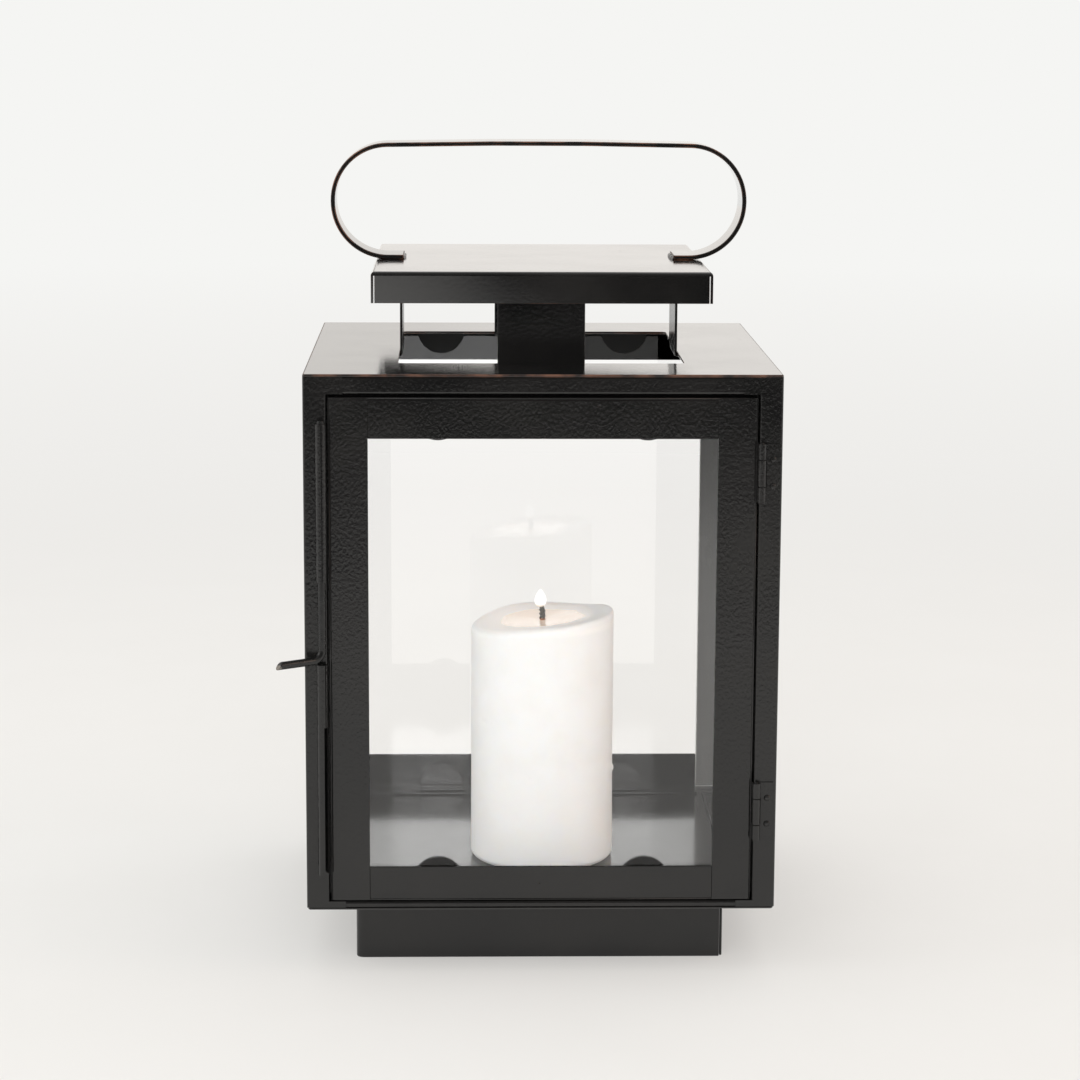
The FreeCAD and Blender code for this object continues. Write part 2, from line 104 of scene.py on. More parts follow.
def metres(*millimetres: float) -> Vector:
    """Point or direction in metres, from millimetres."""
    return Vector(millimetres) * MM


def degrees_from(angle: float, middle_deg: float) -> float:
    """Degrees from a direction to an angle in radians, the short way round."""
    return (math.degrees(angle) - middle_deg + 180) % 360 - 180


def add_node(tree: Tree, kind: str, inputs: Optional[Dict[Any, Any]] = None, **settings: Any) -> Node:
    """Adds a shader node with its settings, values and links.

    Args:
        tree: node tree of a material or a world.
        kind: class of the node, without its leading "ShaderNode".
        inputs: socket name or number, to a value, or to the output or the node that feeds it. A node feeds
            it by its first output. A MapRange goes from the span of sockets 1 and 2 to that of 3 and 4.
        settings: properties of the node.

    Returns:
        The new node.
    """
    node = tree.nodes.new("ShaderNode" + kind)
    for name, value in settings.items():
        setattr(node, name, value)
    for key, value in (inputs or {}).items():
        source = value.outputs[0] if isinstance(value, Node) else value
        if isinstance(source, Socket):
            tree.links.new(source, node.inputs[key])
        else:
            node.inputs[key].default_value = source
    return node


def new_material(name: str) -> Tuple[Material, Adder, Socket]:
    """Makes a material with a node tree that holds only its place on the object.

    Args:
        name: name of the finish.

    Returns:
        The material, add_node for its tree, and the socket with the place on the object in metres.
    """
    material = bpy.data.materials.new(name)
    material.use_nodes = True
    tree = material.node_tree
    tree.nodes.clear()
    add = partial(add_node, tree)
    return material, add, add("TexCoord").outputs["Object"]


@dataclass(frozen=True)
class StoveEnamel:
    """Black stove enamel, sprayed on steel sheet and baked.

    The coat is glossy over an orange peel, so a bright ground breaks up into small wavy glints. Dust dulls it
    in clouds, and a few pinholes stay where the spray spat.
    """

    name: str = "black_stove_enamel"
    black: str = "#121212"
    dust_and_painted_light: str = "#1d1c1b"
    cloud_mm: float = 38.0
    cloud_span: Span = (0.35, 0.72)
    smooth: float = 0.15
    dull: float = 0.28
    gloss_span: Span = (0.3, 0.7)
    ior: float = 1.52
    coat: float = 0.0
    coat_roughness: float = 0.08
    coat_ior: float = 1.55
    peel_mm: float = 1.3
    # Deeper than a real peel, so that it shows at the size of a picture.
    peel_height_mm: float = 0.13
    # The peel runs taller than wide, because the coat sagged before it was baked.
    peel_squeeze: Triple = (1.3, 1.3, 0.85)
    peel_warp: float = 0.3
    ripple_mm: float = 22.0
    ripple_height_mm: float = 0.06
    pinhole_mm: float = 7.0
    pinhole_share: float = 0.09
    # Where a pinhole's floor ends and where its rim ends, as shares of pinhole_mm, their spacing.
    pinhole_span: Span = (0.05, 0.09)
    pinhole_depth_mm: float = 0.25
    # Slope that the sheet takes from a point on it, more towards its left end, as folded by hand.
    sag: Triple = (0.0, 0.0, 0.0)
    sag_from_mm: Triple = (0.0, 0.0, 0.0)
    sag_mm: Span = (60.0, -60.0)
    # Pale colour painted on the faces that look inwards: painted light that makes them look lit.
    painted_film: str = "#e0deda"
    painted_film_share: float = 0.0
    painted_film_depth_mm: float = 30.0
    # Heights between which the candle's soot turns the coat black and dull.
    soot: str = "#060606"
    soot_mm: Optional[Span] = None
    soot_roughness: float = 0.6

    def make(self) -> Material:
        """Builds the material.

        Returns:
            The enamel.
        """
        material, add, place = new_material(self.name)
        cloud = add("TexNoise", {"Vector": place, "Scale": per_metre(self.cloud_mm), "Detail": 5.0})
        low, high = self.cloud_span
        dust = add("MapRange", {"Value": cloud, 1: low, 2: high})
        colour = add("MixRGB", {"Fac": dust, 1: srgb(self.black), 2: srgb(self.dust_and_painted_light)})
        low, high = self.gloss_span
        gloss = add("MapRange", {"Value": cloud, 1: low, 2: high, 3: self.smooth, 4: self.dull})
        coat = self.coat
        # Painted light: the faces that look inwards turn pale.
        if self.painted_film_share:
            outward = add("TexCoord").outputs["Normal"]
            facing = add("VectorMath", {0: outward, 1: place}, operation="DOT_PRODUCT")
            painted_lift = add("MapRange", {
                "Value": facing.outputs["Value"], 1: 0.0, 2: -self.painted_film_depth_mm * MM, 4: self.painted_film_share})
            colour = add("MixRGB", {"Fac": painted_lift, 1: colour, 2: srgb(self.painted_film)})
        if self.soot_mm:
            clean, black = (height * MM for height in self.soot_mm)
            level = add("SeparateXYZ", {0: place})
            sooted = add("MapRange", {"Value": level.outputs["Z"], 1: clean, 2: black})
            colour = add("MixRGB", {"Fac": sooted, 1: colour, 2: srgb(self.soot)})
            gloss = add("Mix", {0: sooted, 2: gloss, 3: self.soot_roughness})
            coat = add("MapRange", {"Value": sooted, 3: self.coat, 4: 0.0})
        relief = self.relief(add, place)
        skin = add("BsdfPrincipled", {
            "Base Color": colour, "Roughness": gloss, "IOR": self.ior, "Coat Weight": coat,
            "Coat Roughness": self.coat_roughness, "Coat IOR": self.coat_ior, "Normal": relief,
            "Coat Normal": relief})
        add("OutputMaterial", {"Surface": skin})
        return material

    def relief(self, add: Adder, place: Socket) -> Node:
        """Adds the sheet's bow, the coat's ripple, its orange peel and its pinholes.

        Args:
            add: add_node for the material's tree.
            place: place on the object in metres.

        Returns:
            The node that gives the direction of the surface.
        """
        ripple = add("TexNoise", {"Vector": place, "Scale": per_metre(self.ripple_mm), "Detail": 0.0})
        sheet = {"Normal": self.bow(add, place)} if any(self.sag) else {}
        waves = add("Bump", {"Height": ripple, "Distance": self.ripple_height_mm * MM, **sheet})
        squeezed = add("Mapping", {"Vector": place, "Scale": self.peel_squeeze})
        peel = add("TexNoise", {
            "Vector": squeezed, "Scale": per_metre(self.peel_mm), "Detail": 2.0,
            "Distortion": self.peel_warp})
        grain = add("Bump", {"Height": peel, "Distance": self.peel_height_mm * MM, "Normal": waves})
        pits = add("TexVoronoi", {"Vector": place, "Scale": per_metre(self.pinhole_mm)})
        chosen = add("SeparateXYZ", {0: pits.outputs["Color"]})
        kept = add("Math", {0: chosen, 1: 1.0 - self.pinhole_share}, operation="GREATER_THAN")
        floor, rim = self.pinhole_span
        near = add("MapRange", {"Value": pits.outputs["Distance"], 1: floor, 2: rim, 3: 1.0, 4: 0.0})
        hole = add("Math", {0: kept, 1: near}, operation="MULTIPLY")
        return add("Bump", {
            "Height": hole, "Distance": self.pinhole_depth_mm * MM, "Normal": grain}, invert=True)

    def bow(self, add: Adder, place: Socket) -> Node:
        """Adds the slope of a sheet that was folded by hand.

        Args:
            add: add_node for the material's tree.
            place: place on the object in metres.

        Returns:
            The node that gives the direction of the sheet.
        """
        away = add("VectorMath", {0: place, 1: metres(*self.sag_from_mm)}, operation="SUBTRACT")
        slope = add("VectorMath", {0: away, 1: self.sag}, operation="DOT_PRODUCT")
        along = add("SeparateXYZ", {0: place})
        right, left = (size * MM for size in self.sag_mm)
        share = add("MapRange", {"Value": along.outputs["X"], 1: right, 2: left})
        fall = add("Math", {0: slope.outputs["Value"], 1: share}, operation="MULTIPLY")
        return add("Bump", {"Height": fall, "Distance": 1.0})


@dataclass(frozen=True)
class WornEdge:
    """Cut edge of the enamelled sheet, where the coat is thin and rubbed: brown oxide shows in dashes."""

    name: str = "rubbed_enamel_edge"
    black: str = "#1a1817"
    brown: str = "#6f4a38"
    patch_mm: float = 9.0
    patch_span: Span = (0.42, 0.6)
    worn_share: Span = (0.05, 0.9)
    roughness: float = 0.4
    ior: float = 1.5

    def make(self) -> Material:
        """Builds the material.

        Returns:
            The finish of the edge.
        """
        material, add, place = new_material(self.name)
        patch = add("TexNoise", {"Vector": place, "Scale": per_metre(self.patch_mm), "Detail": 5.0})
        low, high = self.patch_span
        least, most = self.worn_share
        worn = add("MapRange", {"Value": patch, 1: low, 2: high, 3: least, 4: most})
        colour = add("MixRGB", {"Fac": worn, 1: srgb(self.black), 2: srgb(self.brown)})
        skin = add("BsdfPrincipled", {"Base Color": colour, "Roughness": self.roughness, "IOR": self.ior})
        add("OutputMaterial", {"Surface": skin})
        return material


@dataclass(frozen=True)
class SnippedWire:
    """Enamelled steel wire with a cut end: grey steel, scratched by the pliers, at the tip."""

    tip: Triple
    name: str = "snipped_enamelled_wire"
    black: str = "#161616"
    steel: str = "#8f8a84"
    bare_mm: float = 2.3
    bare_edge_mm: float = 0.4
    scratch_mm: float = 0.8
    drip_mm: float = 3.0
    drip_height_mm: float = 0.12
    smooth: float = 0.16
    dull: float = 0.34
    gloss_span: Span = (0.3, 0.7)

    def make(self) -> Material:
        """Builds the material.

        Returns:
            The finish of the wire.
        """
        material, add, place = new_material(self.name)
        away = add("VectorMath", {0: place, 1: self.tip}, operation="DISTANCE")
        ragged = add("TexNoise", {"Vector": place, "Scale": per_metre(self.scratch_mm), "Detail": 3.0})
        edge = add("Math", {
            0: ragged, 1: self.scratch_mm * MM, 2: away.outputs["Value"]}, operation="MULTIPLY_ADD")
        bare = add("MapRange", {
            "Value": edge, 1: self.bare_mm * MM, 2: (self.bare_mm + self.bare_edge_mm) * MM,
            3: 1.0, 4: 0.0})
        colour = add("MixRGB", {"Fac": bare, 1: srgb(self.black), 2: srgb(self.steel)})
        drips = add("TexNoise", {"Vector": place, "Scale": per_metre(self.drip_mm), "Detail": 2.0})
        low, high = self.gloss_span
        gloss = add("MapRange", {"Value": drips, 1: low, 2: high, 3: self.smooth, 4: self.dull})
        lumps = add("Bump", {"Height": drips, "Distance": self.drip_height_mm * MM})
        skin = add("BsdfPrincipled", {
            "Base Color": colour, "Metallic": bare, "Roughness": gloss, "Normal": lumps})
        add("OutputMaterial", {"Surface": skin})
        return material


@dataclass(frozen=True)
class ClearGlass:
    """Drawn sheet glass, almost without colour, with a trace of wiped dust that softens its reflections."""

    name: str = "clear_sheet_glass"
    tint: str = "#ffffff"
    smear_mm: float = 45.0
    smear_span: Span = (0.45, 0.7)
    clean: float = 0.0
    smeared: float = 0.025
    ior: float = 1.47

    def make(self) -> Material:
        """Builds the material. Lamps reach what stands behind the pane.

        Returns:
            The glass.
        """
        material, add, place = new_material(self.name)
        smear = add("TexNoise", {"Vector": place, "Scale": per_metre(self.smear_mm), "Detail": 3.0})
        low, high = self.smear_span
        gloss = add("MapRange", {"Value": smear, 1: low, 2: high, 3: self.clean, 4: self.smeared})
        pane = add("BsdfPrincipled", {
            "Base Color": srgb(self.tint), "Roughness": gloss, "IOR": self.ior, "Transmission Weight": 1.0})
        through = add("BsdfTransparent", {"Color": srgb(self.tint)})
        ray = add("LightPath")
        mixed = add("MixShader", {0: ray.outputs["Is Shadow Ray"], 1: pane, 2: through})
        add("OutputMaterial", {"Surface": mixed})
        return material


@dataclass(frozen=True)
class ParaffinWax:
    """White paraffin wax, cast in a mould: milky and softly shining.

    It is warm and wet where the flame has melted it. A painted glow stands in for the flame's light spreading
    in it up to the rim, and painted light brightens its foot.
    """

    wick_foot: Triple
    foot_z: float
    name: str = "white_paraffin_wax"
    white: str = "#faf9f7"
    shade: str = "#f7f5f2"
    mottle_mm: float = 11.0
    mottle_span: Span = (0.4, 0.75)
    melted: str = "#f0d9c4"
    melted_share: float = 0.75
    pool_mm: float = 19.0
    pool_fade_mm: float = 3.0
    pool_edge_mm: float = 7.0
    dry: float = 0.45
    wet: float = 0.1
    ior: float = 1.44
    scatter: float = 0.5
    scatter_mm: float = 3.0
    scatter_reach: Triple = (1.0, 0.85, 0.7)
    # Colour of the painted glow, an emission that stands in for the flame's light on the pool.
    glow: str = "#ffe6d0"
    painted_glow_strength: float = 0.17
    painted_glow_mm: Span = (22.0, 33.0)
    # The painted glow reaches far across the pool, and only a little way down into the wax.
    painted_glow_squeeze: Triple = (1.0, 1.0, 8.0)
    # Painted light that brightens the wax above its dark floor, in place of light from the pale room
    # gathering in it.
    painted_foot_light: float = 0.12
    painted_foot_light_mm: float = 45.0

    def make(self) -> Material:
        """Builds the material.

        Returns:
            The wax.
        """
        material, add, place = new_material(self.name)
        mottle = add("TexNoise", {"Vector": place, "Scale": per_metre(self.mottle_mm), "Detail": 5.0})
        low, high = self.mottle_span
        share = add("MapRange", {"Value": mottle, 1: low, 2: high})
        cast = add("MixRGB", {"Fac": share, 1: srgb(self.white), 2: srgb(self.shade)})
        away = add("VectorMath", {0: place, 1: self.wick_foot}, operation="DISTANCE")
        ragged = add("Math", {
            0: mottle, 1: self.pool_edge_mm * MM, 2: away.outputs["Value"]}, operation="MULTIPLY_ADD")
        pool = add("MapRange", {
            "Value": ragged, 1: self.pool_mm * MM, 2: (self.pool_mm + self.pool_fade_mm) * MM,
            3: 1.0, 4: 0.0}, interpolation_type="SMOOTHSTEP")
        warm = add("Math", {0: pool, 1: self.melted_share}, operation="MULTIPLY")
        colour = add("MixRGB", {"Fac": warm, 1: cast, 2: srgb(self.melted)})
        gloss = add("MapRange", {"Value": pool, 3: self.dry, 4: self.wet})
        # Painted light, given as emission: the flame's glow on the pool and a lift at the foot.
        tint, strength = self.light(add, place)
        skin = add("BsdfPrincipled", {
            "Base Color": colour, "Roughness": gloss, "IOR": self.ior,
            "Emission Color": tint, "Emission Strength": strength, "Subsurface Weight": self.scatter,
            "Subsurface Scale": self.scatter_mm * MM, "Subsurface Radius": self.scatter_reach})
        add("OutputMaterial", {"Surface": skin})
        return material

    def light(self, add: Adder, place: Socket) -> Tuple[Node, Node]:
        """Adds the painted light on the wax: a glow for the flame's light, and a lift for the room's light at
        its foot.

        Args:
            add: add_node for the material's tree.
            place: place on the object in metres.

        Returns:
            The nodes that give its colour and its strength.
        """
        spread = add("VectorMath", {0: place, 1: self.wick_foot}, operation="SUBTRACT")
        squat = add("VectorMath", {0: spread, 1: self.painted_glow_squeeze}, operation="MULTIPLY")
        reach = add("VectorMath", {0: squat}, operation="LENGTH")
        near, far = (size * MM for size in self.painted_glow_mm)
        # Painted glow: emission that fades away from the wick's foot.
        glow = add("MapRange", {
            "Value": reach.outputs["Value"], 1: near, 2: far, 3: self.painted_glow_strength, 4: 0.0},
            interpolation_type="SMOOTHSTEP")
        level = add("SeparateXYZ", {0: place})
        # Painted light at the foot, fading upwards.
        low = add("MapRange", {
            "Value": level.outputs["Z"], 1: self.foot_z, 2: self.foot_z + self.painted_foot_light_mm * MM,
            3: 1.0, 4: 0.0})
        tint = add("MixRGB", {"Fac": low, 1: srgb(self.glow), 2: srgb(self.white)})
        strength = add("Math", {0: low, 1: self.painted_foot_light, 2: glow}, operation="MULTIPLY_ADD")
        return tint, strength


@dataclass(frozen=True)
class CharredCotton:
    """Braided cotton wick: soot black and ash grey above, soaked amber where it stands in the wax."""

    foot_z: float
    name: str = "charred_cotton_braid"
    soot: str = "#24241f"
    ash: str = "#7c7b74"
    amber: str = "#b4713c"
    fibre_mm: float = 0.35
    fibre_height_mm: float = 0.08
    burned_span: Span = (0.4, 0.68)
    soaked_mm: float = 1.0
    roughness: float = 0.85

    def make(self) -> Material:
        """Builds the material.

        Returns:
            The finish of the wick.
        """
        material, add, place = new_material(self.name)
        fibre = add("TexNoise", {"Vector": place, "Scale": per_metre(self.fibre_mm), "Detail": 3.0})
        low, high = self.burned_span
        burned = add("MapRange", {"Value": fibre, 1: low, 2: high})
        dark = add("MixRGB", {"Fac": burned, 1: srgb(self.soot), 2: srgb(self.ash)})
        level = add("SeparateXYZ", {0: place})
        soaked = add("MapRange", {
            "Value": level.outputs["Z"], 1: self.foot_z, 2: self.foot_z + self.soaked_mm * MM,
            3: 1.0, 4: 0.0})
        colour = add("MixRGB", {"Fac": soaked, 1: dark, 2: srgb(self.amber)})
        fuzz = add("Bump", {"Height": fibre, "Distance": self.fibre_height_mm * MM})
        skin = add("BsdfPrincipled", {"Base Color": colour, "Roughness": self.roughness, "Normal": fuzz})
        add("OutputMaterial", {"Surface": skin})
        return material


@dataclass(frozen=True)
class CandleFlame:
    """Burning wax vapour: white and bright above, warm and thin where it leaves the wick."""

    foot_z: float
    height: float
    name: str = "candle_flame"
    white: str = "#ffffff"
    warm: str = "#f4d9bd"
    strength: float = 1.25
    thin_share: float = 0.3
    thin_density: float = 0.25

    def make(self) -> Material:
        """Builds the material.

        Returns:
            The flame.
        """
        material, add, place = new_material(self.name)
        level = add("SeparateXYZ", {0: place})
        rise = add("MapRange", {
            "Value": level.outputs["Z"], 1: self.foot_z, 2: self.foot_z + self.thin_share * self.height},
            interpolation_type="SMOOTHSTEP")
        colour = add("MixRGB", {"Fac": rise, 1: srgb(self.warm), 2: srgb(self.white)})
        glow = add("Emission", {"Color": colour, "Strength": self.strength})
        clear = add("BsdfTransparent")
        dense = add("MapRange", {"Value": rise, 3: self.thin_density, 4: 1.0})
        mixed = add("MixShader", {0: dense, 1: clear, 2: glow})
        add("OutputMaterial", {"Surface": mixed})
        return material


def pale_rays(add: Adder) -> Tuple[Node, Node, Socket]:
    """Adds tests for the rays that show the pale ground: from the camera, a gloss or through glass.

    Args:
        add: add_node for the tree of a material or a world.

    Returns:
        A node that gives 1 for all these rays, one that gives 1 only for a mirrored ray, and a socket that
        is 1 only for a ray that came through glass.
    """
    ray = add("LightPath")
    glossy, passed = ray.outputs["Is Glossy Ray"], ray.outputs["Is Transmission Ray"]
    first = add("Math", {0: ray.outputs["Is Camera Ray"], 1: glossy}, operation="MAXIMUM")
    every = add("Math", {0: first, 1: passed}, operation="MAXIMUM")
    mirrored = add("Math", {0: glossy, 1: passed}, operation="SUBTRACT", use_clamp=True)
    return every, mirrored, passed


@dataclass(frozen=True)
class StudioFloor:
    """Matt white paper that keeps the lantern's shadow and runs out into an even pale ground.

    In glossy surfaces it ends in a dark room in front, as a studio does behind its lights.
    """

    name: str = "white_paper_floor"
    paper: str = "#edecea"
    fibre: str = "#e8e7e4"
    middle: str = "#ebe9e6"
    distance: str = "#f5f5f3"
    unlit: str = "#161616"
    fibre_mm: float = 80.0
    near_m: float = 0.4
    far_m: float = 1.25
    distance_m: float = 3.0
    lit_front_m: float = -0.8
    dark_front_m: float = -1.25
    shadow_share: float = 0.46

    def make(self) -> Material:
        """Builds the material.

        Returns:
            The paper.
        """
        material, add, place = new_material(self.name)
        reach = add("VectorMath", {0: place}, operation="LENGTH").outputs["Value"]
        fade = add("MapRange", {
            "Value": reach, 1: self.near_m, 2: self.far_m, 3: self.shadow_share, 4: 1.0},
            interpolation_type="SMOOTHSTEP")
        seen, mirrored, passed = pale_rays(add)
        share = add("Math", {0: fade, 1: seen}, operation="MULTIPLY")
        fibres = add("TexNoise", {"Vector": place, "Scale": per_metre(self.fibre_mm), "Detail": 4.0})
        white = add("MixRGB", {"Fac": fibres, 1: srgb(self.paper), 2: srgb(self.fibre)})
        paper = add("BsdfDiffuse", {"Color": white})
        depth = add("MapRange", {"Value": reach, 1: self.near_m, 2: self.distance_m})
        pale = add("MixRGB", {"Fac": depth, 1: srgb(self.middle), 2: srgb(self.distance)})
        along = add("SeparateXYZ", {0: place})
        room = add("MapRange", {"Value": along.outputs["Y"], 1: self.lit_front_m, 2: self.dark_front_m})
        dim = add("Math", {0: room, 1: mirrored}, operation="MULTIPLY")
        tone = add("MixRGB", {"Fac": dim, 1: pale, 2: srgb(self.unlit)})
        strength = add("MapRange", {"Value": passed, 3: 1.0, 4: THROUGH_GLASS})
        ground = add("Emission", {"Color": tone, "Strength": strength})
        mixed = add("MixShader", {0: share, 1: paper, 2: ground})
        add("OutputMaterial", {"Surface": mixed})
        return material


@dataclass
class RingMesh:
    """Mesh of closed tubes, each skinned over rings of points that all have the same count."""

    points: List[Vector] = field(default_factory=list)
    faces: List[Tuple[int, ...]] = field(default_factory=list)

    def tube(self, rings: Sequence[Ring]) -> None:
        """Adds a tube with closed ends.

        Args:
            rings: rings of points, each counter-clockwise as seen from the last ring's side.
        """
        start = len(self.points)
        count = len(rings[0])
        for ring in rings:
            self.points.extend(ring)
        for level in range(len(rings) - 1):
            low = start + level * count
            for i in range(count):
                a, b = low + i, low + (i + 1) % count
                self.faces.append((a, b, b + count, a + count))
        last = start + (len(rings) - 1) * count
        self.faces.append(tuple(reversed(range(start, start + count))))
        self.faces.append(tuple(range(last, last + count)))

    def build(self, name: str, body: Body, slot: Slot, material: Material) -> bpy.types.Object:
        """Makes the mesh a piece that moves with a body.

        Args:
            name: name of the piece.
            body: body that it rides on.
            slot: slot of the record that its finish belongs to; not used.
            material: its finish.

        Returns:
            The new object.
        """
        mesh = bpy.data.meshes.new(name)
        mesh.from_pydata([tuple(point) for point in self.points], [], self.faces)
        mesh.shade_smooth()
        mesh.materials.append(material)
        piece = bpy.data.objects.new(name, mesh)
        bpy.context.scene.collection.objects.link(piece)
        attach(piece, body.value)
        LOG.info("built %s", name)
        return piece


def circle(centre: Vector, across: Vector, along: Vector, radius: float, count: int) -> Ring:
    """Ring of points round a centre.

    Args:
        centre: middle of the ring.
        across: unit direction of its first point.
        along: unit direction a quarter turn further.
        radius: its radius in metres.
        count: number of points.

    Returns:
        The points in order.
    """
    turns = [2 * math.pi * i / count for i in range(count)]
    return [centre + (across * math.cos(t) + along * math.sin(t)) * radius for t in turns]


def paint(name: str, material: Material) -> bpy.types.Object:
    """Gives a node of the frame one finish all over.

    Args:
        name: node of the frame.
        material: its finish.

    Returns:
        The node's object.
    """
    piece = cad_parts[name]
    piece.data.materials.clear()
    piece.data.materials.append(material)
    LOG.info("finished %s", name)
    return piece


@dataclass
class SheetFinish:
    """Enamel of folded sheet and wire, with softened cut edges that may be rubbed."""

    skin: Material
    edge: Optional[Material] = None
    ease_mm: float = 0.4
    ease_steps: int = 2
    sharp_deg: float = 40.0
    flat_deg: float = 0.5
    weld_mm: float = 0.001
    shade_weight: int = 60

    def dress(self, name: str) -> None:
        """Gives a node its enamel, and rounds its cut edges.

        Args:
            name: node of the frame.
        """
        piece = paint(name, self.skin)
        weld = piece.modifiers.new("closed_facets", "WELD")
        weld.merge_threshold = self.weld_mm * MM
        flat = piece.modifiers.new("plain_faces", "DECIMATE")
        flat.decimate_type = "DISSOLVE"
        flat.angle_limit = math.radians(self.flat_deg)
        ease = piece.modifiers.new("eased_edges", "BEVEL")
        ease.width = self.ease_mm * MM
        ease.segments = self.ease_steps
        ease.limit_method = "ANGLE"
        ease.angle_limit = math.radians(self.sharp_deg)
        ease.use_clamp_overlap = True
        if self.edge:
            piece.data.materials.append(self.edge)
            ease.material = 1
        shade = piece.modifiers.new("even_shading", "WEIGHTED_NORMAL")
        shade.weight = self.shade_weight


@dataclass
class BodyShell:
    """Plinth, floor, corner posts, rails and roof of the glazed body."""

    wall: SheetFinish
    # Its edges are sharper than the wall's, so the gap round the door stays narrow.
    front: SheetFinish
    roof: SheetFinish
    inside: SheetFinish
    # Enamel of the back posts, with painted light on their inward faces.
    dust_and_painted_light: SheetFinish

    def build(self) -> None:
        """Dresses the folded pieces of the body."""
        self.roof.dress("roof_plate")
        self.inside.dress("floor_plate")
        self.wall.dress("plinth")
        for side in ("left", "right"):
            self.front.dress("post_front_" + side)
            self.dust_and_painted_light.dress("post_back_" + side)
        rails = {"front": self.front, "back": self.inside, "left": self.wall, "right": self.wall}
        for side, finish in rails.items():
            finish.dress("top_rail_" + side)
            finish.dress("bottom_rail_" + side)


@dataclass
class Chimney:
    """Cap on four struts over the roof's hole, and the strip handle welded to the cap."""

    wall: SheetFinish
    roof: SheetFinish
    cap: SheetFinish
    bead_mm: Dict[str, float] = field(default_factory=lambda: {"left": 0.65, "right": 0.95})
    bead_rings: int = 40
    bead_points: int = 14
    # Size of the lumps and of the drift from side to side, as shares of the bead's radius.
    bead_lump: float = 0.45
    bead_drift: float = 0.3
    # Each noise has its count of waves along the bead, and a row of its own.
    lump_waves: float = 11.0
    lump_row: float = 4.0
    drift_waves: float = 7.0
    drift_row: float = 9.0
    bead_rise: float = 0.35
    bead_taper: float = 6.0
    bead_tip: float = 0.15
    foot_flat_mm: float = 0.1

    def build(self) -> None:
        """Dresses the sheet pieces and lays the handle's weld beads."""
        self.cap.dress("chimney_cap")
        self.roof.dress("carry_handle")
        for side in ("front", "back", "left", "right"):
            self.wall.dress("chimney_strut_" + side)
        for side in self.bead_mm:
            self.weld_bead(side)

    def weld_bead(self, side: str) -> None:
        """Lays a lumpy bead across the inner end of one of the handle's feet.

        Args:
            side: "left" or "right".
        """
        low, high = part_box("carry_handle")
        cap_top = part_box("chimney_cap")[1][2]
        sign = -1 if side == "left" else 1
        end_x = sign * self.foot_end()
        radius = self.bead_mm[side] * MM
        rings = []
        for i in range(self.bead_rings):
            share = i / (self.bead_rings - 1)
            y = low[1] + share * (high[1] - low[1])
            lump = noise.noise(Vector((share * self.lump_waves, sign * self.lump_row, 0)))
            drift = noise.noise(Vector((share * self.drift_waves, self.drift_row, sign)))
            x = end_x - sign * self.bead_drift * radius * drift
            close = min(1.0, self.bead_taper * share, self.bead_taper * (1 - share)) ** 0.5
            size = radius * (1 + self.bead_lump * lump) * max(close, self.bead_tip)
            centre = Vector((x, y, cap_top + self.bead_rise * radius))
            rings.append(circle(centre, UP, RIGHT, size, self.bead_points))
        bead = RingMesh()
        bead.tube(rings)
        bead.build("handle_weld_" + side, Body.LANTERN, Slot.ENAMEL, self.wall.skin)

    def foot_end(self) -> float:
        """Measures how far the feet's inner ends are from the middle, on the handle's own corners.

        Returns:
            The distance in metres.
        """
        points = [vertex.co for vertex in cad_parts["carry_handle"].data.vertices]
        lowest = min(point.z for point in points)
        return min(abs(point.x) for point in points if point.z < lowest + self.foot_flat_mm * MM)


@dataclass
class Glazing:
    """Fixed panes of the back and sides, with their spring clips."""

    inside: SheetFinish
    glass: Material

    def build(self) -> None:
        """Dresses the panes and their clips."""
        for side in ("back", "left", "right"):
            paint("glass_" + side, self.glass)
            self.inside.dress(side + "_glass_clips")


@dataclass
class GlazedDoor:
    """Framed door with its pane, clips and butt hinges."""

    wall: SheetFinish
    glass: Material
    bead_mm: float = 0.3
    # Distance of the bead's middle from the door's outer faces, in radii of the bead.
    bead_inset: float = 1.05
    bead_points: int = 14

    def build(self) -> None:
        """Dresses the door and both halves of its hinges, and lays the bead round the door."""
        for name in ("stile_left", "stile_right", "rail_top", "rail_bottom", "glass_clips"):
            self.wall.dress("door_" + name)
        paint("door_glass", self.glass)
        for place in ("upper", "lower"):
            for half in ("post_leaf", "door_leaf", "pin"):
                self.wall.dress("hinge_{}_{}".format(place, half))
        self.wall.dress("hinge_rivets")
        self.enamel_bead()

    def enamel_bead(self) -> None:
        """Lays the bead of enamel that ran together along the door's outer folds."""
        size = self.bead_mm * MM
        count = self.bead_points
        inset = Vector((size, size, size)) * self.bead_inset
        low = Vector(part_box("door_stile_left")[0]) + inset
        high = Vector(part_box("door_stile_right")[1]) - inset
        sides, levels = (low.x, high.x), (low.z, high.z)
        bead = RingMesh()
        for x in sides:
            bead.tube([circle(Vector((x, low.y, z)), RIGHT, BACK, size, count) for z in levels])
        for z in levels:
            bead.tube([circle(Vector((x, low.y, z)), BACK, UP, size, count) for x in sides])
        bead.build("door_enamel_bead", Body.DOOR, Slot.ENAMEL, self.wall.skin)


@dataclass
class WireLatch:
    """Bent wire that turns in rolled sleeves on the left front post."""

    wall: SheetFinish

    def build(self) -> None:
        """Dresses the sleeves and the wire with its snipped tip."""
        for place in ("upper", "lower"):
            self.wall.dress("latch_sleeve_" + place)
        points = [vertex.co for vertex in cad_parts["latch_wire"].data.vertices]
        tip = min(points, key=lambda point: point.x + point.y)
        SheetFinish(SnippedWire(tuple(tip)).make()).dress("latch_wire")


